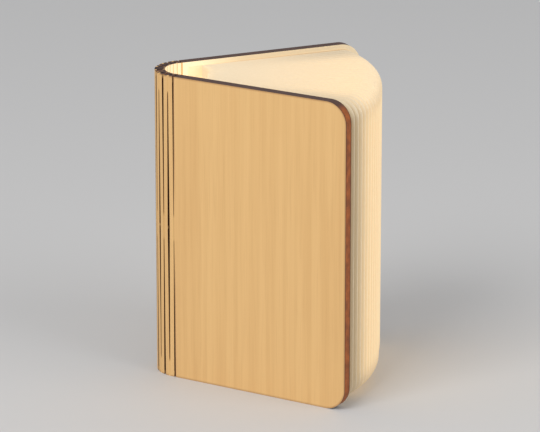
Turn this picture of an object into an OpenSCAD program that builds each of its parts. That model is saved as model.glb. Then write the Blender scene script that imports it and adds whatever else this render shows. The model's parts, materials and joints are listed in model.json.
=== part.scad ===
// Folding book lamp: two wooden covers joined by a laser-cut living hinge,
// a fan of pleated paper between them and a rechargeable light bar in the spine.
// The lamp stands on its lower edges. +Z is up along the spine and +X runs from
// the spine to the fore edge. The back half is drawn and the front half mirrors it.

/* [Covers] */
// Height of the covers and the spine
cover_h = 122; // [100:1:160]
// Length of a cover from the last slot of the hinge to the fore edge
cover_len = 76.7; // [65:0.1:110]
// Thickness of the plywood
board_t = 4; // [3.6:0.1:4.2]
// Radius of the corners at the fore edge
corner_r = 8.5; // [3:0.5:14]
// Angle between each cover and the middle plane, as it stands
rest_open = 27.6; // [15:0.1:45]
// Diameter of the closing magnets
magnet_d = 6; // [4:0.5:8]
// Thickness of the closing magnets
magnet_t = 2; // [1:0.1:2.5]
// Distance from the fore edge to the magnets
magnet_edge = 9; // [7:0.5:14]
// Distance from the top and bottom edges to the magnets
magnet_end = 20; // [12:1:30]
// Play round a magnet in its pocket
magnet_play = 0.05; // [0.02:0.01:0.1]

/* [Living hinge] */
// Distance from slot to slot
pitch = 2.2; // [2.1:0.05:2.6]
// Width of a slot
kerf = 0.65; // [0.62:0.01:0.7]
// Height of the wood left at the middle of every other slot
mid_bridge = 10; // [6:0.5:16]
// Height of the wood left at the ends of the slots between them
end_bridge = 6.8; // [5:0.1:12]
// Radius of the rounded core on which a bridge bends
core_r = 1.2; // [0.9:0.05:1.25]
// Running clearance round a core
core_play = 0.1; // [0.08:0.01:0.12]
// Share of a cover's turn that each slot takes, apart from the last
slot_share = 0.18; // [0.165:0.005:0.19]

/* [Pages] */
// Thickness of a sheet of the pleated paper
leaf_t = 0.11; // [0.08:0.01:0.12]
// Gap between the two leaves of a folded pleat
leaf_gap = 0.04; // [0.02:0.01:0.05]
// Distance from the last slot to the inner ends of the pleats, closed
page_start = 6.5; // [6.2:0.1:8]
// Distance of the pages from the top and bottom edges of the covers
page_inset = 1.8; // [1:0.1:5]
// How far the middle ridges pass the fore edge of a closed cover
ridge_overhang = 0.3; // [0:0.05:0.5]
// How much further back the ridges beside the covers lie
ridge_setback = 3.5; // [2:0.1:5]
// Room between a cover and the nearest pleat, closed
stack_clear = 1.3; // [1.2:0.05:1.5]
// Distance from the last slot back to the axis on which the pleats fan out
fan_back = 6.97; // [6.5:0.01:7.5]
// Distance of that axis outside the last slot
fan_out = 0.45; // [0.3:0.01:0.6]
// Thickness of the endpaper glued to a cover
endpaper_t = 0.15; // [0.1:0.01:0.25]
// Distance from the last slot to the endpaper
endpaper_start = 2.5; // [1.5:0.1:5]

/* [Light bar] */
// Height of the bar above the surface the lamp stands on
bar_z = 7; // [5:0.5:12]
// Distance of the bar below the top of the spine
bar_drop = 11; // [4:0.5:14]
// Room between the bar and a closed cover
bar_clear = 0.95; // [0.8:0.05:1.2]
// Depth of the housing from its back to the joint with the lens
shell_depth = 7.6; // [7:0.1:8]
// Depth of the lens in front of the housing
lens_depth = 3; // [2.4:0.1:3.2]
// Wall of the housing and the lens
wall = 0.9; // [0.7:0.05:1.1]
// Radius of the housing's back corners
shell_r = 4.3; // [3.6:0.1:4.6]
// Radius of the lens's front corners
lens_r = 2.6; // [1.5:0.1:3]
// Thickness of the end caps
cap_t = 1.6; // [1.2:0.1:2.4]
// Depth of the plug that seats a cap in the housing
plug_t = 1.8; // [1:0.1:3]
// Play of the parts inside the housing
fit_play = 0.1; // [0.05:0.01:0.15]
// Thickness of the foam tape between the spine and the bar at its middle
tape_t = 1.1; // [0.9:0.05:1.4]
// Width of the foam tape
tape_w = 3; // [2:0.1:3.6]
// Distance of the foam tape from the ends of the bar
tape_end = 7; // [2:0.5:15]

/* [Electronics] */
// Thickness of the circuit board
pcb_t = 1; // [0.8:0.1:1.2]
// Width of a light-emitting chip
led_w = 2.8; // [2:0.1:3.5]
// Height of a light-emitting chip
led_h = 3.5; // [2:0.1:4]
// Thickness of a light-emitting chip
led_t = 0.8; // [0.5:0.1:1]
// Number of light-emitting chips
led_count = 10; // [6:1:14]
// Thickness of the battery cell
cell_t = 4.6; // [3.5:0.1:4.9]
// Width of the battery cell
cell_w = 6.8; // [5:0.1:7.2]
// Height of the battery cell
cell_h = 56; // [40:1:60]
// Width of the charging socket
socket_w = 7.4; // [6.8:0.1:7.6]
// Thickness of the charging socket
socket_t = 2.6; // [2.4:0.1:3]
// Depth of the charging socket
socket_d = 5.2; // [4.5:0.1:6]
// Wall of the charging socket
socket_wall = 0.3; // [0.2:0.05:0.4]
// Diameter of the charging light
light_d = 1.6; // [1:0.1:2]
// Length of the charging light
light_len = 5; // [4:0.5:8]
// Diameter of a battery lead
lead_d = 0.9; // [0.6:0.1:1.2]
// Length of a battery lead below the cell
lead_drop = 5; // [3:0.5:8]
// Distance of the opening sensor's centre below the top of the bar
sensor_drop = 12; // [10:0.5:16]
// Side of the opening sensor
sensor_w = 3; // [2:0.1:4]
// Thickness of the opening sensor
sensor_t = 1.1; // [0.8:0.1:1.4]
// Diameter of a screw's shank
screw_d = 1.2; // [1:0.1:1.4]
// Diameter of a screw's head
head_d = 2; // [1.8:0.1:2.2]
// Height of a screw's head
head_t = 0.6; // [0.4:0.1:0.8]
// Length of a screw's shank
screw_len = 6; // [4:0.5:8]
// Distance of the screws from the middle of the bar
screw_y = 2.5; // [2.3:0.1:2.6]

/* [Hidden] */
$fn = 48;
slots_side = 6;
pleats_side = 15;
eps = 0.01;

// Living hinge: slot 0 is the middle of the spine, and the others count outwards.
// Its two strips hold the light bar and keep their bend. The others bend with the covers:
// these are the bend at a slot and the direction of a strip when a cover is open by the angle a.
rest_bend = (180 - 2 * rest_open) / (2 * slots_side - 1);
function slot_bend(a) = rest_bend - slot_share * (a - rest_open);
function strip_dir(i, a) = 90 - rest_bend / 2 - i * slot_bend(a);
function slot_at(j, a) =
    j == 0 ? [0, 0]
    : slot_at(j - 1, a) + pitch * [cos(strip_dir(j - 1, a)), sin(strip_dir(j - 1, a))];
strip_w = pitch - kerf;
groove_r = core_r + core_play;

// The closed book
closed_slot = slot_at(slots_side, 0);
closed_gap = closed_slot[1] - board_t / 2;
closed_edge = closed_slot[0] + cover_len;

// Pages: pleat k turns with its share of the cover's angle about one axis
fan_axis = closed_slot + [-fan_back, fan_out];
fold_t = 2 * leaf_t + leaf_gap;
pleat_pitch = (closed_gap - stack_clear) / pleats_side;
function share(k) = (k - 0.5) / pleats_side;
function pleat_angle(k) = share(k) * rest_open;
function pleat_side(k) = fan_axis[1] - share(k) * pleats_side * pleat_pitch;
function ridge_at(k) = closed_edge + ridge_overhang - ridge_setback * share(k) * share(k) - fan_axis[0];
function ridge_x(k) =
    fan_axis[0] + (ridge_at(k) - fold_t / 2) * cos(pleat_angle(k)) + pleat_side(k) * sin(pleat_angle(k))
    + fold_t / 2;
leaf_len = cover_len + ridge_overhang - ridge_setback - page_start;
page_corner_r = corner_r - page_inset;

// The part's origin is under the middle of its box
spine_back = -board_t / 2 * cos(rest_bend / 2);
fan_front = max([for (k = [1 : pleats_side]) ridge_x(k)]);
origin_x = (spine_back + fan_front) / 2;

// Light bar, with x measured from the middle slot
bar_h = cover_h - bar_z - bar_drop;
bar_half = closed_gap - bar_clear;
bar_back = board_t / 2 + tape_t;
bar_joint = bar_back + shell_depth;
bar_front = bar_joint + lens_depth;
inner_half = bar_half - wall;
bar_top = bar_z + bar_h;
tube_z = bar_z + cap_t;
tube_h = bar_h - 2 * cap_t;

// Board behind the joint, cell behind the board
pcb_x = bar_joint - pcb_t;
pcb_w = 2 * (inner_half - fit_play);
pcb_z = tube_z + plug_t + fit_play;
pcb_h = tube_h - 2 * (plug_t + fit_play);
rib_w = 0.7;
rib_t = 0.8;
rib_z = max(pcb_z, bar_z + socket_d + fit_play);
cell_x = pcb_x - rib_t - cell_t - fit_play;
cell_z = bar_z + (bar_h - cell_h) / 2;
socket_x = pcb_x - socket_t;
screw_x = bar_back + wall + head_d / 2 + 0.7;
boss_r = screw_d / 2 + 0.6;
boss_h = screw_len - cap_t + 1;
light_x = bar_back + wall + light_d / 2 + 0.25;

module front_half() {
    mirror([0, 1, 0]) children();
}

module at_slot(j) {
    place = slot_at(j, rest_open);
    translate([place[0], place[1], 0]) children();
}

module along_strip(i) {
    at_slot(i) rotate([0, 0, strip_dir(i, rest_open)]) children();
}

module along_cover() {
    at_slot(slots_side) rotate([0, 0, rest_open]) children();
}

// Round bar over each bridge of slot j, longer by play at the ends that lie inside the wood
module bridge_cores(j, r, play) {
    if (j % 2 == 0)
        translate([0, 0, (cover_h - mid_bridge) / 2 - play])
            cylinder(r = r, h = mid_bridge + 2 * play);
    else
        for (z = [-play, cover_h - end_bridge - play])
            translate([0, 0, z]) cylinder(r = r, h = end_bridge + 2 * play);
}

module strip_blank() {
    translate([kerf / 2, -board_t / 2, 0]) cube([strip_w, board_t, cover_h]);
}

// Outline in X and Z of a sheet with round corners at its far end
module sheet_outline(x0, x1, z0, z1, r) {
    translate([x0, z0]) square([x1 - x0 - r, z1 - z0]);
    translate([x0, z0 + r]) square([x1 - x0, z1 - z0 - 2 * r]);
    translate([x1 - r, z0 + r]) circle(r = r);
    translate([x1 - r, z1 - r]) circle(r = r);
}

// The sheet itself, from y0 to y0 + t
module sheet(x0, x1, z0, z1, r, y0, t) {
    translate([0, y0 + t, 0]) rotate([90, 0, 0]) linear_extrude(t) sheet_outline(x0, x1, z0, z1, r);
}

module strip(i) {
    color("burlywood") difference() {
        union() {
            along_strip(i) strip_blank();
            at_slot(i + 1) bridge_cores(i + 1, core_r, 0);
        }
        at_slot(i) bridge_cores(i, groove_r, core_play);
    }
}

module half_spine() {
    along_strip(0) strip_blank();
    at_slot(1) bridge_cores(1, core_r, 0);
}

// Point of the middle strip on the back side, u along it and out from its middle
function on_spine(u, out) = [
    u * cos(strip_dir(0, 0)) - out * sin(strip_dir(0, 0)),
    u * sin(strip_dir(0, 0)) + out * cos(strip_dir(0, 0))];
function flip(point) = [point[0], -point[1]];

// The bridge in the middle of the spine keeps the full thickness of the board
module spine_bridge() {
    half_t = board_t / 2;
    translate([0, 0, (cover_h - mid_bridge) / 2]) linear_extrude(mid_bridge) polygon([
        on_spine(kerf, half_t),
        on_spine(0, half_t),
        flip(on_spine(0, half_t)),
        flip(on_spine(kerf, half_t)),
        flip(on_spine(kerf, -half_t)),
        [half_t / cos(rest_bend / 2), 0],
        on_spine(kerf, -half_t)]);
}

module spine_strips() {
    color("burlywood") {
        half_spine();
        front_half() half_spine();
        spine_bridge();
    }
}

module magnet_places() {
    for (z = [magnet_end, cover_h - magnet_end])
        translate([cover_len - magnet_edge, -board_t / 2, z]) rotate([-90, 0, 0]) children();
}

module cover() {
    color("burlywood") difference() {
        along_cover() difference() {
            sheet(kerf / 2, cover_len, 0, cover_h, corner_r, -board_t / 2, board_t);
            magnet_places() cylinder(d = magnet_d + 2 * magnet_play, h = magnet_t + magnet_play);
        }
        at_slot(slots_side) bridge_cores(slots_side, groove_r, core_play);
    }
}

module magnets() {
    color("silver") along_cover() magnet_places() cylinder(d = magnet_d, h = magnet_t);
}

module endpaper() {
    color("wheat") along_cover()
        sheet(endpaper_start, cover_len - page_inset, page_inset, cover_h - page_inset, page_corner_r,
            -board_t / 2 - endpaper_t, endpaper_t);
}

// Cross-section of one folded pleat: two leaves and the round fold at its ridge
module pleat_section(inner, ridge) {
    difference() {
        union() {
            translate([inner, -fold_t / 2]) square([ridge - fold_t / 2 - inner, fold_t]);
            translate([ridge - fold_t / 2, 0]) circle(d = fold_t);
        }
        translate([inner - 1, -leaf_gap / 2]) square([ridge - fold_t / 2 - inner + 1, leaf_gap]);
    }
}

module pleat(k) {
    ridge = ridge_at(k);
    inner = ridge - leaf_len;
    color("ivory") translate([fan_axis[0], fan_axis[1], 0])
        rotate([0, 0, pleat_angle(k)]) translate([0, -pleat_side(k), 0]) intersection() {
            translate([0, 0, page_inset])
                linear_extrude(cover_h - 2 * page_inset) pleat_section(inner, ridge);
            sheet(inner - 1, ridge, page_inset, cover_h - page_inset, page_corner_r, -fold_t, 2 * fold_t);
        }
}

// Outline of the housing, drawn smaller by inset and cut off flat at x1
module shell_outline(inset, x1) {
    half = bar_half - inset;
    back = bar_back + inset;
    r = shell_r - inset;
    intersection() {
        union() {
            translate([back, -(half - r)]) square([x1 - back, 2 * (half - r)]);
            translate([back + r, -half]) square([x1 - back, 2 * half]);
            for (side = [-1, 1]) translate([back + r, side * (half - r)]) circle(r = r);
        }
        translate([back, -half]) square([x1 - back, 2 * half]);
    }
}

// Outline of the lens, drawn smaller by inset and cut off flat at x0
module lens_outline(inset, x0) {
    half = bar_half - inset;
    front = bar_front - inset;
    r = lens_r - inset;
    intersection() {
        union() {
            translate([x0, -(half - r)]) square([front - x0, 2 * (half - r)]);
            translate([x0, -half]) square([front - r - x0, 2 * half]);
            for (side = [-1, 1]) translate([front - r, side * (half - r)]) circle(r = r);
        }
        translate([x0, -half]) square([front - x0, 2 * half]);
    }
}

module screw_places() {
    for (side = [-1, 1]) translate([screw_x, side * screw_y, 0]) children();
}

module light_bar_shell() {
    color("white") difference() {
        union() {
            translate([0, 0, tube_z]) linear_extrude(tube_h) difference() {
                shell_outline(0, bar_joint);
                shell_outline(wall, bar_joint + 1);
            }
            // Ribs behind the board, above the charging socket
            for (side = [-1, 1])
                translate([pcb_x - rib_t, side * (inner_half - rib_w / 2 + eps) - rib_w / 2, rib_z])
                    cube([rib_t, rib_w, pcb_z + pcb_h - rib_z]);
            // Bosses for the screws, clear of the plugs of the caps
            intersection() {
                for (z = [tube_z + plug_t + fit_play, tube_z + tube_h - plug_t - fit_play - boss_h])
                    translate([0, 0, z]) screw_places() cylinder(r = boss_r, h = boss_h);
                translate([0, 0, tube_z]) linear_extrude(tube_h) shell_outline(wall / 2, bar_joint);
            }
        }
        screw_places() {
            translate([0, 0, bar_z]) cylinder(d = screw_d + eps, h = screw_len + head_t + 2);
            translate([0, 0, bar_top - screw_len - head_t - 2])
                cylinder(d = screw_d + eps, h = screw_len + head_t + 2);
        }
    }
}

module light_bar_lens() {
    color("white", 0.6) translate([0, 0, tube_z]) linear_extrude(tube_h) difference() {
        lens_outline(0, bar_joint);
        lens_outline(wall, bar_joint - 1);
    }
}

// End cap with its plug, drawn for the bottom end
module cap_blank() {
    linear_extrude(cap_t) {
        shell_outline(0, bar_joint);
        lens_outline(0, bar_joint);
    }
    translate([0, 0, cap_t - eps]) linear_extrude(plug_t + eps)
        shell_outline(wall + fit_play, pcb_x - rib_t - fit_play);
}

module screw_holes() {
    screw_places() {
        translate([0, 0, -1]) cylinder(d = screw_d + eps, h = cap_t + plug_t + 2);
        translate([0, 0, -1]) cylinder(d = head_d + fit_play, h = head_t + 1);
    }
}

module bottom_cap() {
    color("white") translate([0, 0, bar_z]) difference() {
        cap_blank();
        screw_holes();
        // Window for the charging socket
        translate([socket_x - fit_play, -socket_w / 2 - fit_play, -1])
            cube([socket_t + fit_play, socket_w + 2 * fit_play, cap_t + plug_t + 2]);
        translate([light_x, 0, -1]) cylinder(d = light_d + fit_play, h = cap_t + plug_t + 2);
    }
}

module top_cap() {
    color("white") translate([0, 0, bar_top]) mirror([0, 0, 1]) difference() {
        cap_blank();
        screw_holes();
    }
}

// One screw with its head flush with the outside of the bottom cap
module screw() {
    difference() {
        union() {
            cylinder(d = head_d, h = head_t);
            translate([0, 0, head_t - eps]) cylinder(d = screw_d, h = screw_len + eps);
        }
        // Cross recess
        for (a = [0, 90]) rotate([0, 0, a])
            translate([-head_d * 0.35, -0.15, -1]) cube([head_d * 0.7, 0.3, 1 + head_t * 0.6]);
    }
}

module housing_screws() {
    color("silver") screw_places() {
        translate([0, 0, bar_z]) screw();
        translate([0, 0, bar_top]) mirror([0, 0, 1]) screw();
    }
}

// Foam tape that fills the shallow V between the two middle strips and the flat bar
module mounting_tape() {
    tilt = rest_bend / 2;
    edge_y = tape_w / 2;
    inner_x = board_t / 2 / cos(tilt);
    color("dimgray") translate([0, 0, bar_z + tape_end]) linear_extrude(bar_h - 2 * tape_end)
        polygon([
            [inner_x, 0],
            [inner_x + edge_y * tan(tilt), edge_y],
            [bar_back, edge_y],
            [bar_back, -edge_y],
            [inner_x + edge_y * tan(tilt), -edge_y]]);
}

module led_board() {
    color("seagreen") translate([pcb_x, -pcb_w / 2, pcb_z]) cube([pcb_t, pcb_w, pcb_h]);
}

module leds() {
    step = pcb_h / led_count;
    color("lightyellow") for (i = [0 : led_count - 1])
        translate([bar_joint, -led_w / 2, pcb_z + (i + 0.5) * step - led_h / 2])
            cube([led_t, led_w, led_h]);
}

module battery_cell() {
    r = cell_t / 2;
    color("lightsteelblue") translate([cell_x + r, 0, cell_z]) {
        translate([-r, -(cell_w / 2 - r), 0]) cube([cell_t, cell_w - 2 * r, cell_h]);
        for (side = [-1, 1]) translate([0, side * (cell_w / 2 - r), 0]) cylinder(r = r, h = cell_h);
    }
}

module battery_leads() {
    r = lead_d / 2;
    reach = pcb_x - (cell_x + cell_t / 2);
    for (side = [-1, 1])
        color(side < 0 ? "black" : "red")
            translate([cell_x + cell_t / 2, side * cell_w / 5, cell_z - lead_drop]) {
                cylinder(r = r, h = lead_drop);
                sphere(r = r);
                rotate([0, 90, 0]) cylinder(r = r, h = reach);
            }
}

module opening_sensor() {
    color("black") translate([pcb_x - sensor_t, -sensor_w / 2, bar_top - sensor_drop - sensor_w / 2])
        cube([sensor_t, sensor_w, sensor_w]);
}

module charging_socket() {
    r = 0.6;
    mouth_w = socket_w - 2 * socket_wall;
    mouth_t = socket_t - 2 * socket_wall;
    color("silver") translate([socket_x, 0, bar_z]) difference() {
        translate([0, -socket_w / 2, 0]) cube([socket_t, socket_w, socket_d]);
        // Mouth with the usual two slanted corners
        translate([socket_wall, 0, -1]) linear_extrude(socket_d - socket_wall + 1) polygon([
            [0, -mouth_w / 2 + r],
            [0, mouth_w / 2 - r],
            [r, mouth_w / 2],
            [mouth_t, mouth_w / 2],
            [mouth_t, -mouth_w / 2],
            [r, -mouth_w / 2]]);
    }
    // Contact tongue
    color("black") translate([socket_x + socket_t / 2 - 0.3, -socket_w / 4, bar_z + 1])
        cube([0.6, socket_w / 2, socket_d - 1 - socket_wall + eps]);
}

module charge_light() {
    color("orangered") translate([light_x, 0, bar_z]) cylinder(d = light_d, h = light_len);
}

translate([-origin_x, 0, 0]) {
    front_half() cover();  // front_cover
    cover();  // back_cover
    spine_strips();
    for (i = [1 : slots_side - 1]) {
        front_half() strip(i);
        strip(i);
    }
    for (k = [1 : pleats_side]) {
        front_half() pleat(k);
        pleat(k);
    }
    front_half() endpaper();  // front_endpaper
    endpaper();  // back_endpaper
    front_half() magnets();  // front_magnets
    magnets();  // back_magnets
    light_bar_shell();
    light_bar_lens();
    top_cap();
    bottom_cap();
    housing_screws();
    mounting_tape();
    led_board();
    leds();
    battery_cell();
    battery_leads();
    opening_sensor();
    charging_socket();
    charge_light();
}
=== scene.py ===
import json
from math import cos, pi, radians, sin

import bpy
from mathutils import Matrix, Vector


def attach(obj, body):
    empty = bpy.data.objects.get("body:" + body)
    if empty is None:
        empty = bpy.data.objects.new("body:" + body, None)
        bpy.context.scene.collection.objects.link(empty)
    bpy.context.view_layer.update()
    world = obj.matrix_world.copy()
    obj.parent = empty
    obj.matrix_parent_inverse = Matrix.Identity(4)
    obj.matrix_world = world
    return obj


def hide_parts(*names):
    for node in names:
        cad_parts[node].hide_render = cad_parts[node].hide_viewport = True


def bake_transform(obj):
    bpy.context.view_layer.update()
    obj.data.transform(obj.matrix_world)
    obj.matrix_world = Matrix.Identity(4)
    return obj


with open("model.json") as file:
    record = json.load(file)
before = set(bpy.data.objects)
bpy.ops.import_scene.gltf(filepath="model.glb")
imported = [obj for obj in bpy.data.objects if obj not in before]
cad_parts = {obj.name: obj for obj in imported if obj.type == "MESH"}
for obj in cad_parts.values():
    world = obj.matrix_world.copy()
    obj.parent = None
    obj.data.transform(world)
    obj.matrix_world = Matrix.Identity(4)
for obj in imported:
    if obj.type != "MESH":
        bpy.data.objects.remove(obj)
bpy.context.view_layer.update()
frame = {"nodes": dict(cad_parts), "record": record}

# The camera stands well away from the lamp, a little above it and to the left of its front,
# behind a long lens. Lengths are in metres.
scene = bpy.context.scene
camera = bpy.data.objects.new("camera", bpy.data.cameras.new("camera"))
scene.collection.objects.link(camera)
scene.camera = camera
camera.data.sensor_width = 36
camera.data.lens = 248.66
camera.data.clip_end = 10
camera.location = (0.08523, -1.3863, 0.4956)
aim = Vector((0.00613, -0.0877, 0.0904)) - camera.location
camera.rotation_euler = aim.to_track_quat("-Z", "Y").to_euler()
scene.view_settings.view_transform = "Standard"

# Each cover is one piece of pale plywood, cut out by laser. Its faces show fine upright grain,
# its edges are burnt brown by the beam, and the faces are a little darker along the cut.
mm = 0.001
cover_h = 122 * mm
cover_len = 76.7 * mm
board_t = 4 * mm
corner_r = 8.5 * mm
rest_open = radians(27.6)
pitch = 2.2 * mm
kerf = 0.65 * mm
side_slots = 6
spine_slot = Vector((-41.87 * mm, 0, 0))
rest_bend = (pi - 2 * rest_open) / (2 * side_slots - 1)
heat_reach = 0.9 * mm
heat_level = 0.55


def turned(angle, length=1.0):
    return Vector((cos(angle), sin(angle), 0)) * length


def strip_dir(number):
    return pi / 2 - rest_bend / 2 - number * rest_bend


def slot_place(number, mirror):
    """The middle of a slot as the lamp stands; slot 0 is the middle of the spine."""
    steps = [turned(mirror * strip_dir(i), pitch) for i in range(number)]
    return sum(steps, spine_slot.copy())


def add(tree, kind, inputs=None, out=0, **settings):
    """Adds a node, gives its inputs values or links by name or number, and returns an output."""
    made = tree.nodes.new(kind)
    for name, value in settings.items():
        setattr(made, name, value)
    for key, value in (inputs or {}).items():
        if isinstance(value, bpy.types.NodeSocket):
            tree.links.new(value, made.inputs[key])
        else:
            made.inputs[key].default_value = value
    return made.outputs[out]


def maths(tree, operation, *values):
    return add(tree, "ShaderNodeMath", dict(enumerate(values)), operation=operation)


def plus(tree, one, other):
    return maths(tree, "ADD", one, other)


def minus(tree, one, other):
    return maths(tree, "SUBTRACT", one, other)


def times(tree, one, other):
    return maths(tree, "MULTIPLY", one, other)


def noise(tree, place, scale, detail, **more):
    inputs = {"Vector": place, "Scale": scale, "Detail": detail}
    return add(tree, "ShaderNodeTexNoise", {**inputs, **more})


def smooth(tree, value, low, high):
    """0 below low, 1 above high and a smooth step between them."""
    inputs = {"Value": value, "From Min": low, "From Max": high}
    return add(tree, "ShaderNodeMapRange", inputs, interpolation_type="SMOOTHSTEP")


def mix(tree, factor, one, other):
    inputs = {"Factor": factor, 6: one, 7: other}
    return add(tree, "ShaderNodeMix", inputs, out=2, data_type="RGBA")


def linear(red, green, blue):
    """A colour written as it looks, from 0 to 255, in the renderer's own linear values."""
    parts = [c / 255 for c in (red, green, blue)]
    return tuple(c / 12.92 if c <= 0.04045 else ((c + 0.055) / 1.055) ** 2.4 for c in parts) + (1,)


def group(name, inputs, outputs):
    """A shader group with named sockets, returned with its input and output nodes."""
    tree = bpy.data.node_groups.new(name, "ShaderNodeTree")
    for label, kind in inputs:
        tree.interface.new_socket(label, in_out="INPUT", socket_type=kind)
    for label, kind in outputs:
        tree.interface.new_socket(label, in_out="OUTPUT", socket_type=kind)
    return tree, tree.nodes.new("NodeGroupInput"), tree.nodes.new("NodeGroupOutput")


def material(name):
    """A new material with its tree and its Principled shader."""
    made = bpy.data.materials.new(name)
    made.use_nodes = True
    tree = made.node_tree
    return made, tree, tree.nodes["Principled BSDF"]


def finish_node(node, made):
    obj = frame["nodes"][node]
    for place in obj.material_slots:
        place.material = made


wood_group, given, result = group(
    "upright_grain",
    [("Place", "NodeSocketVector")],
    [("Color", "NodeSocketColor"), ("Height", "NodeSocketFloat")],
)
tree = wood_group
place = given.outputs["Place"]
streaks = add(tree, "ShaderNodeVectorMath", {0: place, 1: (1, 1, 0.02)}, operation="MULTIPLY")
fibres = noise(tree, streaks, 2200, 3, Roughness=0.5)
bands = noise(tree, streaks, 300, 2, Distortion=0.2)
clouds = noise(tree, place, 20, 2)
tone = mix(tree, smooth(tree, bands, 0.3, 0.75), linear(236, 192, 130), linear(228, 182, 121))
tone = mix(tree, times(tree, smooth(tree, fibres, 0.45, 0.75), 0.22), tone, linear(208, 158, 100))
tone = mix(tree, times(tree, smooth(tree, clouds, 0.35, 0.8), 0.35), tone, linear(236, 191, 128))
tree.links.new(tone, result.inputs["Color"])
tree.links.new(fibres, result.inputs["Height"])

burn_group, given, result = group(
    "burnt_edge",
    [("Place", "NodeSocketVector"), ("Depth", "NodeSocketFloat"), ("Level", "NodeSocketFloat")],
    [("Color", "NodeSocketColor"), ("Height", "NodeSocketFloat")],
)
tree = burn_group
# Depth runs from 0 on one face of the board to 1 on the other; Level is 1 on the top and the bottom
marks = noise(tree, given.outputs["Place"], 1800, 3)
soot = noise(tree, given.outputs["Place"], 260, 2)
from_core = maths(tree, "ABSOLUTE", minus(tree, given.outputs["Depth"], 0.5))
border = smooth(tree, from_core, 0.3, 0.48)
tone = mix(tree, smooth(tree, soot, 0.3, 0.7), linear(178, 98, 46), linear(138, 76, 38))
tone = mix(tree, given.outputs["Level"], tone, mix(tree, soot, linear(92, 66, 56), linear(72, 52, 46)))
tone = mix(tree, times(tree, border, 0.85), tone, linear(66, 40, 32))
tone = mix(tree, times(tree, smooth(tree, marks, 0.5, 0.75), 0.4), tone, linear(64, 40, 32))
tree.links.new(tone, result.inputs["Color"])
tree.links.new(marks, result.inputs["Height"])


def use_group(tree, shared, inputs):
    made = tree.nodes.new("ShaderNodeGroup")
    made.node_tree = shared
    for key, value in inputs.items():
        tree.links.new(value, made.inputs[key])
    return made.outputs


def cut_wood(tree, shader, place, depth, cut, heat, facing, normal):
    """Grain on the faces and burnt wood on the cut, with the heat that darkens the faces beside it.

    Faces that look inwards are painted pale and given a painted glow that grows towards the spine, for the
    light of the lamp that falls on them.
    """
    grain = use_group(tree, wood_group, {"Place": place})
    level = maths(tree, "ABSOLUTE", add(tree, "ShaderNodeSeparateXYZ", {0: normal}, out=2))
    level = smooth(tree, level, 0.6, 0.9)
    burnt = use_group(tree, burn_group, {"Place": place, "Depth": depth, "Level": level})
    tone = mix(tree, heat, grain["Color"], linear(150, 102, 68))
    # Painted light: the inward faces are painted pale and glow, most near the spine, for the lamp's light
    # on them
    inner = maths(tree, "LESS_THAN", facing, -0.7)
    tone = mix(tree, inner, tone, linear(242, 222, 186))
    shader.inputs["Emission Color"].default_value = linear(255, 238, 200)
    glow = smooth(tree, add(tree, "ShaderNodeSeparateXYZ", {0: place}), 30 * mm, 0)
    glow = plus(tree, times(tree, glow, 0.35), 0.03)
    tree.links.new(times(tree, inner, glow), shader.inputs["Emission Strength"])
    tree.links.new(mix(tree, cut, tone, burnt["Color"]), shader.inputs["Base Color"])
    rough = add(tree, "ShaderNodeMapRange", {"Value": grain["Height"], "To Min": 0.5, "To Max": 0.62})
    tree.links.new(rough, shader.inputs["Roughness"])
    shader.inputs["Specular IOR Level"].default_value = 0.25
    height = mix(tree, cut, grain["Height"], burnt["Height"])
    bump = add(tree, "ShaderNodeBump", {"Height": height, "Strength": 0.12, "Distance": 0.00015})
    tree.links.new(bump, shader.inputs["Normal"])


for side, mirror in (("front", -1), ("back", 1)):
    made, tree, shader = material(side + "_cover_wood")
    coordinates = tree.nodes.new("ShaderNodeTexCoord")
    pivot = slot_place(side_slots, mirror)
    local = add(
        tree,
        "ShaderNodeVectorRotate",
        {"Vector": coordinates.outputs["Object"], "Center": pivot, "Angle": -mirror * rest_open},
        rotation_type="Z_AXIS",
    )
    local = add(tree, "ShaderNodeVectorMath", {0: local, 1: pivot}, operation="SUBTRACT")
    parts = tree.nodes.new("ShaderNodeSeparateXYZ")
    tree.links.new(local, parts.inputs[0])
    facing = add(
        tree,
        "ShaderNodeVectorMath",
        {0: coordinates.outputs["Normal"], 1: (-sin(rest_open), mirror * cos(rest_open), 0)},
        out=1,
        operation="DOT_PRODUCT",
    )
    cut = maths(tree, "LESS_THAN", maths(tree, "ABSOLUTE", facing), 0.7)
    depth = maths(tree, "DIVIDE", plus(tree, parts.outputs[1], board_t / 2), board_t)
    # Distance inside the outline with its round corners
    past_u = maths(tree, "MAXIMUM", minus(tree, parts.outputs[0], cover_len - corner_r), 0)
    from_middle = maths(tree, "ABSOLUTE", minus(tree, parts.outputs[2], cover_h / 2))
    past_z = maths(tree, "MAXIMUM", minus(tree, from_middle, cover_h / 2 - corner_r), 0)
    past = add(tree, "ShaderNodeCombineXYZ", {0: past_u, 1: past_z})
    reach = add(tree, "ShaderNodeVectorMath", {0: past}, out=1, operation="LENGTH")
    inside = minus(tree, corner_r, reach)
    heat = times(tree, minus(tree, 1, smooth(tree, inside, 0.0, heat_reach)), heat_level)
    # The last slot of the hinge is open away from the middle and has darkened the edge beside it
    beside = minus(tree, 1, smooth(tree, parts.outputs[0], kerf / 2, kerf / 2 + 0.35 * mm))
    beside = times(tree, beside, smooth(tree, from_middle, 6 * mm, 30 * mm))
    heat = maths(tree, "MAXIMUM", heat, beside)
    cut_wood(tree, shader, local, depth, cut, heat, facing, coordinates.outputs["Normal"])
    finish_node(side + "_cover", made)

# The hinge is the middle of the same board, cut into twelve upright strips. At rest they stand
# on an arc, and one material follows that arc, so the grain runs on from strip to strip.
arc_r = pitch / 2 / sin(rest_bend / 2)
arc_centre = spine_slot + Vector((arc_r, 0, 0))


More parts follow.
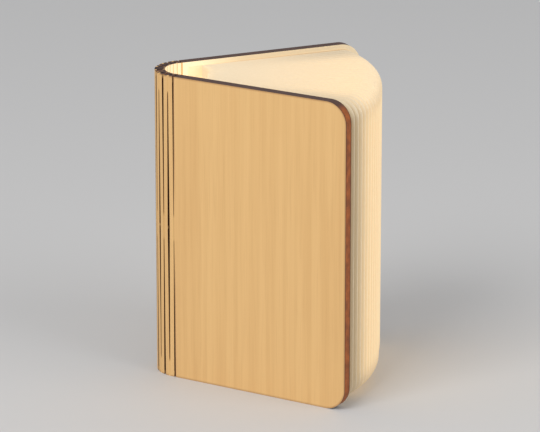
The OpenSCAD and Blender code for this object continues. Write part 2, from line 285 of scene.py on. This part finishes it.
def arc_wood(name):
    """Wood that takes its grain along the arc, with the masks for what faces out or in."""
    made, tree, shader = material(name)
    coordinates = tree.nodes.new("ShaderNodeTexCoord")
    local = add(
        tree,
        "ShaderNodeVectorMath",
        {0: coordinates.outputs["Object"], 1: tuple(arc_centre)},
        operation="SUBTRACT",
    )
    parts = tree.nodes.new("ShaderNodeSeparateXYZ")
    tree.links.new(local, parts.inputs[0])
    angle = maths(tree, "ARCTAN2", parts.outputs[1], times(tree, parts.outputs[0], -1))
    flat = add(tree, "ShaderNodeVectorMath", {0: local, 1: (1, 1, 0)}, operation="MULTIPLY")
    radius = add(tree, "ShaderNodeVectorMath", {0: flat}, out=1, operation="LENGTH")
    along = times(tree, angle, arc_r)
    place = add(tree, "ShaderNodeCombineXYZ", {0: along, 1: radius, 2: parts.outputs[2]})
    outward = add(tree, "ShaderNodeVectorMath", {0: flat}, operation="NORMALIZE")
    facing = add(
        tree,
        "ShaderNodeVectorMath",
        {0: coordinates.outputs["Normal"], 1: outward},
        out=1,
        operation="DOT_PRODUCT",
    )
    cut = maths(tree, "LESS_THAN", maths(tree, "ABSOLUTE", facing), 0.8)
    depth = maths(tree, "DIVIDE", minus(tree, radius, arc_r - board_t / 2), board_t)
    return made, tree, shader, place, depth, cut, facing, coordinates.outputs["Normal"]


strip_wood, tree, shader, place, depth, cut, facing, normal = arc_wood("hinge_wood")
upright = add(tree, "ShaderNodeSeparateXYZ", {0: place}, out=2)
end = minus(tree, cover_h / 2, maths(tree, "ABSOLUTE", minus(tree, upright, cover_h / 2)))
heat = times(tree, minus(tree, 1, smooth(tree, end, 0.0, heat_reach)), heat_level)
cut_wood(tree, shader, place, depth, cut, heat, facing, normal)
for node in ["spine_strips"] + [f"{s}_strip_{i}" for s in ("front", "back") for i in range(1, side_slots)]:
    finish_node(node, strip_wood)

# The strips of the part are stiff and leave an even gap at each slot. These fillings carry the
# wood across the bridges, and leave a slit that gets wider from the bridge to its free end, with its floor
# painted dark as painted shade.
slit_narrow = 0.24
slit_wide = 0.98
slit_depth = 0.85
slit_run = 54 * mm
slit_end = 1.2 * mm
mid_bridge = 10 * mm
end_bridge = 6.8 * mm


def geometry_tree(name, inputs):
    tree = bpy.data.node_groups.new(name, "GeometryNodeTree")
    for label, kind in inputs:
        tree.interface.new_socket(label, in_out="INPUT", socket_type=kind)
    tree.interface.new_socket("Geometry", in_out="OUTPUT", socket_type="NodeSocketGeometry")
    return tree, tree.nodes.new("NodeGroupInput").outputs, tree.nodes.new("NodeGroupOutput")


def close_tree(tree, result, geometry, made):
    """Ends a tree the same way every time: plain geometry with its material."""
    plain = add(tree, "GeometryNodeRealizeInstances", {0: geometry})
    dressed = add(tree, "GeometryNodeSetMaterial", {"Geometry": plain, "Material": made})
    tree.links.new(dressed, result.inputs[0])


def grown(name, tree, values):
    """Runs a tree with these inputs and keeps its result as a plain mesh."""
    holder = bpy.data.objects.new(name, bpy.data.meshes.new(name))
    scene.collection.objects.link(holder)
    modifier = holder.modifiers.new("grow", "NODES")
    modifier.node_group = tree
    for item in tree.interface.items_tree:
        if item.in_out == "INPUT" and item.name in values:
            modifier[item.identifier] = values[item.name]
    holder.update_tag()
    evaluated = holder.evaluated_get(bpy.context.evaluated_depsgraph_get())
    mesh = bpy.data.meshes.new_from_object(evaluated)
    mesh.name = name
    bpy.data.objects.remove(holder)
    made = bpy.data.objects.new(name, mesh)
    scene.collection.objects.link(made)
    return made


slit_wood, tree, shader, place = arc_wood("slit_wood")[:4]
char_and_shade = add(tree, "ShaderNodeAttribute", {}, out=2, attribute_name="char_and_shade")
grain = use_group(tree, wood_group, {"Place": place})
# The lip of the slit is scorched wood; its floor runs from burnt brown to near black as painted shade,
# darker where the slit is wider
lip = mix(tree, smooth(tree, char_and_shade, -0.6, 0.0), grain["Color"], linear(126, 84, 54))
burnt = mix(tree, smooth(tree, char_and_shade, 0.1, 0.5), linear(84, 46, 32), linear(14, 9, 7))
tree.links.new(mix(tree, smooth(tree, char_and_shade, 0.0, 0.03), lip, burnt), shader.inputs["Base Color"])
shader.inputs["Roughness"].default_value = 0.75
shader.inputs["Specular IOR Level"].default_value = 0.1

ring = 8
stations = 122
tree, given, result = geometry_tree(
    "slot_filling",
    [
        ("Outer A", "NodeSocketVector"),
        ("Outer B", "NodeSocketVector"),
        ("Inner A", "NodeSocketVector"),
        ("Inner B", "NodeSocketVector"),
        ("Bridge From Middle", "NodeSocketFloat"),
        ("Slit Direction", "NodeSocketFloat"),
        ("Narrow", "NodeSocketFloat"),
        ("Wide", "NodeSocketFloat"),
        ("First Half", "NodeSocketFloat"),
        ("Second Half", "NodeSocketFloat"),
    ],
)
tube = add(
    tree,
    "GeometryNodeMeshCylinder",
    {"Vertices": ring, "Side Segments": stations, "Radius": 1, "Depth": 1},
)
index = add(tree, "GeometryNodeInputIndex")
turn = maths(tree, "FLOORED_MODULO", index, ring)
station = maths(tree, "FLOOR", maths(tree, "DIVIDE", index, ring))
height = times(tree, minus(tree, 1, maths(tree, "DIVIDE", station, stations)), cover_h)
from_middle = maths(tree, "ABSOLUTE", minus(tree, height, cover_h / 2))
# Distance of a height from the bridge, above 0 where the slit is open
past_bridge = minus(tree, from_middle, given["Bridge From Middle"])
open_by = times(tree, past_bridge, given["Slit Direction"])
opened = smooth(tree, open_by, 0, slit_end)
sunk = times(tree, opened, slit_depth)
widening = maths(tree, "DIVIDE", maths(tree, "MAXIMUM", open_by, 0), slit_run)
wider = minus(tree, given["Wide"], given["Narrow"])
width = plus(tree, given["Narrow"], times(tree, widening, wider))
half = maths(tree, "DIVIDE", width, 2)
near = minus(tree, 0.5, half)
far = plus(tree, 0.5, half)


def choose(tree, which, values):
    """The value of a list that has the number which."""
    made = tree.nodes.new("GeometryNodeIndexSwitch")
    made.data_type = "FLOAT"
    while len(made.index_switch_items) < len(values):
        made.index_switch_items.new()
    tree.links.new(which, made.inputs[0])
    for number, value in enumerate(values):
        socket = made.inputs[number + 1]
        if isinstance(value, bpy.types.NodeSocket):
            tree.links.new(value, socket)
        else:
            socket.default_value = value
    return made.outputs[0]


# A half ends at the middle of the slot, on the floor of the slit
starts_late = given["Second Half"]
runs_on = minus(tree, 1, given["First Half"])
lowest = times(tree, starts_late, 0.5)
highest = plus(tree, 0.5, times(tree, runs_on, 0.5))
near, far = maths(tree, "MAXIMUM", near, lowest), maths(tree, "MINIMUM", far, highest)
left_floor = times(tree, sunk, starts_late)
right_floor = times(tree, sunk, given["First Half"])
across = choose(tree, turn, [lowest, near, near, far, far, highest, highest, lowest])
deep = choose(tree, turn, [left_floor, left_floor, sunk, sunk, right_floor, right_floor, 1.0, 1.0])
# Char and painted shade: -1 on clean wood, 0 at the scorched lip of the slit, and on the floor a painted
# shade that grows darker the wider the slit is
lip = minus(tree, smooth(tree, open_by, -0.4 * mm, 0.4 * mm), 1)
floor_char_and_shade = times(tree, opened, plus(tree, widening, 0.08))
left_char_and_shade = minus(tree, times(tree, plus(tree, floor_char_and_shade, 1), starts_late), 1)
right_char_and_shade = minus(tree, floor_char_and_shade, times(tree, plus(tree, floor_char_and_shade, 1), runs_on))
left_lip = maths(tree, "MAXIMUM", lip, left_char_and_shade)
right_lip = maths(tree, "MAXIMUM", lip, right_char_and_shade)
char_and_shade_mark = choose(tree, turn, [left_char_and_shade, left_lip, floor_char_and_shade, floor_char_and_shade, right_lip, right_char_and_shade, -1.0, -1.0])


def between(tree, factor, one, other):
    inputs = {"Factor": factor, 4: one, 5: other}
    return add(tree, "ShaderNodeMix", inputs, out=1, data_type="VECTOR")


outer = between(tree, across, given["Outer A"], given["Outer B"])
inner = between(tree, across, given["Inner A"], given["Inner B"])
flat_place = between(tree, deep, outer, inner)
lift = add(tree, "ShaderNodeCombineXYZ", {2: height})
point = add(tree, "ShaderNodeVectorMath", {0: flat_place, 1: lift}, operation="ADD")
shaped = add(tree, "GeometryNodeSetPosition", {"Geometry": tube, "Position": point})
marked = add(
    tree,
    "GeometryNodeStoreNamedAttribute",
    {"Geometry": shaped, "Name": "char_and_shade", "Value": char_and_shade_mark},
    data_type="FLOAT",
    domain="POINT",
)
merged = add(tree, "GeometryNodeMergeByDistance", {"Geometry": marked, "Distance": 0.01 * mm})
close_tree(tree, result, merged, slit_wood)
slot_tree = tree


def slot_edges(side_a, side_b):
    """The four corners of a gap, each side given as a pivot, a direction and a way along it."""
    corners = []
    for pivot, angle, way in (side_a, side_b):
        edge = pivot + turned(angle, way)
        away = (edge - arc_centre).normalized()
        normal = turned(angle + pi / 2)
        if normal.dot(away) < 0:
            normal = -normal
        corners.append((edge + normal * board_t / 2, edge - normal * board_t / 2))
    return corners


def fill_slot(name, number, mirror, half=0):
    """The filling of a slot, or only its half on the near (-1) or the far (1) side."""
    pivot = slot_place(number, mirror)
    before = mirror * strip_dir(number - 1) if number else -strip_dir(0)
    after = mirror * (rest_open if number == side_slots else strip_dir(number))
    before_way = -kerf / 2 if number else kerf / 2
    edges = slot_edges((pivot, before, before_way), (pivot, after, kerf / 2))
    (outer_a, inner_a), (outer_b, inner_b) = edges
    middle_bridge = number % 2 == 0
    made = grown(
        name,
        slot_tree,
        {
            "Outer A": outer_a,
            "Outer B": outer_b,
            "Inner A": inner_a,
            "Inner B": inner_b,
            "Bridge From Middle": mid_bridge / 2 if middle_bridge else cover_h / 2 - end_bridge,
            "Slit Direction": 1.0 if middle_bridge else -1.0,
            "Narrow": slit_narrow,
            "Wide": slit_wide,
            "First Half": 1.0 if half < 0 else 0.0,
            "Second Half": 1.0 if half > 0 else 0.0,
        },
    )
    return made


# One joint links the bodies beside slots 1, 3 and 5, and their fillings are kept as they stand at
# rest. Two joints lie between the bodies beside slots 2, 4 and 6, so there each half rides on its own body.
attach(fill_slot("slot_middle", 0, 1), "spine")
for side, mirror in (("front", -1), ("back", 1)):
    bodies = ["spine"] + [f"{side}_strip_{i}" for i in range(1, side_slots)] + [side + "_cover"]
    for number in (1, 3, 5):
        filling = fill_slot(f"{side}_slot_{number}", number, mirror)
        pivot = slot_place(number, mirror)
        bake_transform(filling)
    for number in (2, 4, 6):
        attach(fill_slot(f"{side}_slot_{number}_near", number, mirror, -1), bodies[number - 1])
        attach(fill_slot(f"{side}_slot_{number}_far", number, mirror, 1), bodies[number])

# The pages are one long strip of translucent paper, folded to and fro, which bends only at its folds
# as the lamp opens. Its ridges stand at the fore edge and its valleys near the light, and these sheets are
# made as they stand at rest.
pleats_side = 15
page_bottom = 1.8 * mm
page_top = cover_h - page_bottom
page_corner = corner_r - page_bottom
leaf_t = 0.12 * mm

paper, tree, shader = material("glowing_paper")
coordinates = tree.nodes.new("ShaderNodeTexCoord")
parts = tree.nodes.new("ShaderNodeSeparateXYZ")
tree.links.new(coordinates.outputs["Object"], parts.inputs[0])
from_spine = minus(tree, parts.outputs[0], spine_slot.x)
fibre = noise(tree, coordinates.outputs["Object"], 900, 3)
# Depth is 0 at a ridge and at the top and bottom edges, and grows where less daylight comes in
depth = add(tree, "ShaderNodeAttribute", {}, out=2, attribute_name="depth")
shade = smooth(tree, depth, 0.05 * mm, 1.8 * mm)
sheet_tone = mix(tree, fibre, linear(243, 230, 206), linear(236, 220, 192))
sheet_tone = mix(tree, times(tree, shade, 0.6), sheet_tone, linear(200, 182, 146))
tree.links.new(sheet_tone, shader.inputs["Base Color"])
outward = smooth(tree, from_spine, 12 * mm, 70 * mm)
near_light = mix(tree, outward, linear(255, 246, 222), linear(255, 228, 180))
tree.links.new(near_light, shader.inputs["Emission Color"])
strength = add(
    tree,
    "ShaderNodeMapRange",
    {"Value": from_spine, "From Min": 10 * mm, "From Max": 70 * mm, "To Min": 0.22, "To Max": 0.32},
)
# The pages beside the covers get less of the light than the ones in the middle
aside = maths(tree, "DIVIDE", maths(tree, "ABSOLUTE", parts.outputs[1]), from_spine)
aside = times(tree, smooth(tree, aside, 0.3, 0.53), smooth(tree, from_spine, 25 * mm, 70 * mm))
dimmed = minus(tree, 1, times(tree, aside, 0.85))
# So do the edges at the top and bottom, where the light passes by and not through the paper
from_middle = maths(tree, "ABSOLUTE", minus(tree, parts.outputs[2], cover_h / 2))
end_loss = plus(tree, times(tree, smooth(tree, from_middle, 48 * mm, 56 * mm), 0.6), 0.15)
edge_loss = times(tree, end_loss, minus(tree, 1, smooth(tree, depth, 0, 1.5 * mm)))
dimmed = times(tree, dimmed, minus(tree, 1, edge_loss))
tree.links.new(times(tree, strength, dimmed), shader.inputs["Emission Strength"])
shader.inputs["Roughness"].default_value = 0.85
shader.inputs["Specular IOR Level"].default_value = 0.1
bump = add(tree, "ShaderNodeBump", {"Height": fibre, "Strength": 0.15, "Distance": 0.00005})
tree.links.new(bump, shader.inputs["Normal"])

# One sheet runs from ridge A to the valley, and on to ridge B if it has the columns of two leaves
corner_columns = 7
leaf_columns = 18
rows = 24
tree, given, result = geometry_tree(
    "folded_sheet",
    [
        ("Ridge A", "NodeSocketVector"),
        ("Valley", "NodeSocketVector"),
        ("Ridge B", "NodeSocketVector"),
        ("Thickness", "NodeSocketFloat"),
        ("Wave", "NodeSocketFloat"),
        ("Columns", "NodeSocketInt"),
    ],
)
grid = add(
    tree,
    "GeometryNodeMeshGrid",
    {"Size X": 1, "Size Y": 1, "Vertices X": given["Columns"], "Vertices Y": rows + 1},
)
index = add(tree, "GeometryNodeInputIndex")
column = maths(tree, "FLOOR", maths(tree, "DIVIDE", index, rows + 1))
row = maths(tree, "FLOORED_MODULO", index, rows + 1)
second = maths(tree, "GREATER_THAN", column, leaf_columns)
folded = minus(tree, leaf_columns, maths(tree, "ABSOLUTE", minus(tree, column, leaf_columns)))
leaf_ends = {0: given["Ridge A"], 1: given["Valley"]}
leaf = add(tree, "ShaderNodeVectorMath", leaf_ends, out=1, operation="DISTANCE")
# Columns crowd towards the ridge, where the corners are round
turn = times(tree, maths(tree, "MINIMUM", maths(tree, "DIVIDE", folded, corner_columns), 1), pi / 2)
in_corner = times(tree, minus(tree, 1, maths(tree, "COSINE", turn)), page_corner)
later = maths(
    tree,
    "MAXIMUM",
    maths(tree, "DIVIDE", minus(tree, folded, corner_columns), leaf_columns - corner_columns),
    0,
)
rest = times(tree, later, minus(tree, leaf, page_corner))
from_ridge = plus(tree, in_corner, rest)
factor = maths(tree, "DIVIDE", from_ridge, leaf)
first_leaf = between(tree, factor, given["Ridge A"], given["Valley"])
second_leaf = between(tree, factor, given["Ridge B"], given["Valley"])
flat_place = between(tree, second, first_leaf, second_leaf)
drop = times(tree, minus(tree, 1, maths(tree, "SINE", turn)), page_corner)
share = maths(tree, "DIVIDE", row, rows)
low = plus(tree, page_bottom, drop)
high = minus(tree, page_top, drop)
height = plus(tree, low, times(tree, share, minus(tree, high, low)))
lift = add(tree, "ShaderNodeCombineXYZ", {2: height})
point = add(tree, "ShaderNodeVectorMath", {0: flat_place, 1: lift}, operation="ADD")
placed = add(tree, "GeometryNodeSetPosition", {"Geometry": grid, "Position": point})
# All sheets share one slow wave, so that neighbours bend alike
wave_place = add(tree, "ShaderNodeCombineXYZ", {0: from_ridge, 2: height})
slow = add(tree, "ShaderNodeTexNoise", {"Vector": wave_place, "Scale": 45, "Detail": 1})
free = times(tree, minus(tree, slow, 0.5), given["Wave"])
gone = times(tree, free, maths(tree, "SINE", times(tree, factor, pi)))
offset = add(tree, "ShaderNodeCombineXYZ", {1: gone})
waved = add(tree, "GeometryNodeSetPosition", {"Geometry": placed, "Offset": offset})
to_edge = maths(tree, "MINIMUM", minus(tree, high, height), minus(tree, height, low))
waved = add(
    tree,
    "GeometryNodeStoreNamedAttribute",
    {"Geometry": waved, "Name": "depth", "Value": maths(tree, "MINIMUM", from_ridge, to_edge)},
    data_type="FLOAT",
    domain="POINT",
)
thick = add(
    tree,
    "GeometryNodeExtrudeMesh",
    {"Mesh": waved, "Offset Scale": given["Thickness"], "Individual": False},
)
under = add(tree, "GeometryNodeFlipFaces", {"Mesh": waved})
both = tree.nodes.new("GeometryNodeJoinGeometry")
tree.links.new(thick, both.inputs[0])
tree.links.new(under, both.inputs[0])
merged = add(tree, "GeometryNodeMergeByDistance", {"Geometry": both.outputs[0], "Distance": 0.005 * mm})
close_tree(tree, result, merged, paper)
sheet_tree = tree

fan_axis = {
    j["name"].split("_")[0]: Vector(j["pos_m"])
    for j in frame["record"]["behaviour"]["joints"]
    if j["name"].endswith("_fold_1")
}
# From the axis of the fan: how far out the ridges stand, how much less they do beside the covers,
# and how far the first pleat runs past the axis, with how much nearer the last one does
ridge_reach = 83.97 * mm
ridge_setback = 3.5 * mm
first_side = 8.505 * mm
side_step = 4.755 * mm
leaf_len = 67 * mm
end_aside = 0.5 * mm
wave = 0.5 * mm


def pleat_point(side, number, reach):
    """A point of pleat number at rest, this far along it from the axis of the fan."""
    mirror = -1 if side == "front" else 1
    axis = fan_axis[side]
    share = (number - 0.5) / pleats_side
    angle = share * rest_open
    offset = first_side - side_step * share
    x = reach * cos(angle) + offset * sin(angle)
    y = reach * sin(angle) - offset * cos(angle)
    return Vector((axis.x + x, axis.y + mirror * y, 0))


def ridge(side, number):
    share = (number - 0.5) / pleats_side
    return pleat_point(side, number, ridge_reach - ridge_setback * share * share)


def inner_end(side, number):
    share = (number - 0.5) / pleats_side
    return pleat_point(side, number, ridge_reach - ridge_setback * share * share - leaf_len)


def sheet(name, ridge_a, valley, ridge_b, columns):
    values = {"Ridge A": ridge_a, "Valley": valley, "Ridge B": ridge_b, "Columns": columns}
    values.update({"Thickness": leaf_t, "Wave": wave})
    made = grown(name, sheet_tree, values)
    return made


one_leaf = leaf_columns + 1
two_leaves = 2 * leaf_columns + 1
for side, mirror in (("front", -1), ("back", 1)):
    valley = (inner_end("front", 1) + inner_end("back", 1)) / 2
    made = sheet(side + "_leaf_middle", ridge(side, 1), valley, ridge(side, 1), one_leaf)
    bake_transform(made)
    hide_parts(side + "_pleat_1")
    for number in range(1, pleats_side):
        valley = (inner_end(side, number) + inner_end(side, number + 1)) / 2
        ridges = ridge(side, number), ridge(side, number + 1)
        made = sheet(f"{side}_leaves_{number}", ridges[0], valley, ridges[1], two_leaves)
        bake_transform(made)
        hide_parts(f"{side}_pleat_{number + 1}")
    last = ridge(side, pleats_side)
    end = inner_end(side, pleats_side) + Vector((0, mirror * end_aside, 0))
    made = sheet(side + "_leaf_last", last, end, last, one_leaf)
    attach(made, f"{side}_pleat_{pleats_side}")

# The endpapers are cream paper glued flat to the insides of the covers. The light of the bar
# falls on them, so they glow weakly near the spine and less towards the fore edge.
endpaper, tree, shader = material("cream_endpaper")
coordinates = tree.nodes.new("ShaderNodeTexCoord")
fibre = noise(tree, coordinates.outputs["Object"], 700, 3)
tone = mix(tree, fibre, linear(240, 216, 178), linear(232, 204, 162))
tree.links.new(tone, shader.inputs["Base Color"])
shader.inputs["Emission Color"].default_value = linear(255, 238, 200)
from_spine = add(tree, "ShaderNodeSeparateXYZ", {0: coordinates.outputs["Object"]})
from_spine = minus(tree, from_spine, spine_slot.x)
glow = {"Value": from_spine, "From Min": 8 * mm, "From Max": 30 * mm, "To Min": 0.4, "To Max": 0.04}
tree.links.new(add(tree, "ShaderNodeMapRange", glow), shader.inputs["Emission Strength"])
shader.inputs["Roughness"].default_value = 0.8
shader.inputs["Specular IOR Level"].default_value = 0.15
bump = add(tree, "ShaderNodeBump", {"Height": fibre, "Strength": 0.1, "Distance": 0.00005})
tree.links.new(bump, shader.inputs["Normal"])
for side in ("front", "back"):
    finish_node(side + "_endpaper", endpaper)

# The lens of the light bar is opal plastic, lit from behind and a little brighter in front of
# each of the ten chips. It clips to the housing in the spine.
opal, tree, shader = material("opal_plastic")
coordinates = tree.nodes.new("ShaderNodeTexCoord")
upright = add(tree, "ShaderNodeSeparateXYZ", {0: coordinates.outputs["Object"]}, out=2)
chip_step = 9.7 * mm
chip_wave = maths(tree, "SINE", times(tree, upright, 2 * pi / chip_step))
shader.inputs["Base Color"].default_value = linear(244, 240, 230)
warmth = mix(tree, smooth(tree, chip_wave, -1, 1), linear(255, 240, 208), linear(255, 246, 222))
tree.links.new(warmth, shader.inputs["Emission Color"])
glow = add(
    tree,
    "ShaderNodeMapRange",
    {"Value": chip_wave, "From Min": -1, "To Min": 3.4, "To Max": 3.8},
)
tree.links.new(glow, shader.inputs["Emission Strength"])
shader.inputs["Roughness"].default_value = 0.4
finish_node("light_bar_lens", opal)


# The housing and its caps are moulded white plastic with a fine matt texture. The parts inside
# are a green board with its chips, a foil cell with two leads, a sensor and a metal socket.
def moulded(name, tone, other, rough, scale, metal=0.0):
    """A material with small changes of tone, a grainy surface and slight differences in shine."""
    made, tree, shader = material(name)
    coordinates = tree.nodes.new("ShaderNodeTexCoord")
    place = coordinates.outputs["Object"]
    slow = noise(tree, place, scale / 8, 2)
    fine = noise(tree, place, scale, 3)
    tree.links.new(mix(tree, slow, linear(*tone), linear(*other)), shader.inputs["Base Color"])
    shine = add(
        tree, "ShaderNodeMapRange", {"Value": fine, "To Min": rough - 0.08, "To Max": rough + 0.08}
    )
    tree.links.new(shine, shader.inputs["Roughness"])
    shader.inputs["Metallic"].default_value = metal
    bump = add(tree, "ShaderNodeBump", {"Height": fine, "Strength": 0.1, "Distance": 0.00005})
    tree.links.new(bump, shader.inputs["Normal"])
    return made


white = moulded("white_housing", (236, 234, 228), (224, 221, 213), 0.5, 2500)
finish_node("light_bar_shell", white)
lit = moulded("lit_caps", (246, 240, 224), (238, 230, 210), 0.5, 2500)
shader = lit.node_tree.nodes["Principled BSDF"]
shader.inputs["Emission Color"].default_value = linear(255, 242, 206)
shader.inputs["Emission Strength"].default_value = 0.4
for node in ("top_cap", "bottom_cap"):
    finish_node(node, lit)
steel = moulded("plated_steel", (190, 190, 188), (160, 160, 160), 0.28, 1800, metal=1.0)
for node in ("housing_screws", "charging_socket", "front_magnets", "back_magnets"):
    finish_node(node, steel)
finish_node("mounting_tape", moulded("grey_foam", (96, 96, 98), (70, 70, 72), 0.9, 3000))
finish_node("led_board", moulded("green_board", (38, 104, 62), (28, 84, 50), 0.35, 1500))
finish_node("leds", moulded("chip_phosphor", (250, 222, 120), (244, 208, 96), 0.4, 4000))
finish_node("battery_cell", moulded("cell_foil", (176, 182, 190), (150, 156, 166), 0.35, 1200, metal=0.8))
finish_node("battery_leads", moulded("lead_insulation", (150, 24, 20), (126, 18, 16), 0.45, 2500))
finish_node("opening_sensor", moulded("sensor_black", (34, 34, 36), (22, 22, 24), 0.5, 3000))
finish_node("charge_light", moulded("signal_red", (214, 82, 52), (190, 62, 40), 0.3, 2500))

# The lamp stands on a plain pale floor, under two broad soft lights and an even sky. They are
# the stage and no part of the lamp.
floor_mesh = bpy.data.meshes.new("floor")
reach = 3.0
corners = [(-reach, -reach, 0), (reach, -reach, 0), (reach, reach, 0), (-reach, reach, 0)]
floor_mesh.from_pydata(corners, [], [(0, 1, 2, 3)])
floor = bpy.data.objects.new("floor", floor_mesh)
scene.collection.objects.link(floor)
made, tree, shader = material("pale_floor")
shader.inputs["Base Color"].default_value = (0.62, 0.61, 0.6, 1)
shader.inputs["Roughness"].default_value = 0.7
floor_mesh.materials.append(made)

world = bpy.data.worlds.new("sky")
world.use_nodes = True
world.node_tree.nodes["Background"].inputs["Color"].default_value = (0.9, 0.92, 0.95, 1)
world.node_tree.nodes["Background"].inputs["Strength"].default_value = 0.55
scene.world = world
lamp_middle = Vector((0, 0, 0.06))
for name, place, size, power in (
    ("key", (-0.7, -1.1, 1.3), 0.9, 16),
    ("fill", (1.1, -0.6, 0.8), 0.9, 6),
):
    light = bpy.data.lights.new(name, "AREA")
    light.size = size
    light.energy = power
    stand = bpy.data.objects.new(name, light)
    stand.location = place
    stand.rotation_euler = (lamp_middle - stand.location).to_track_quat("-Z", "Y").to_euler()
    scene.collection.objects.link(stand)
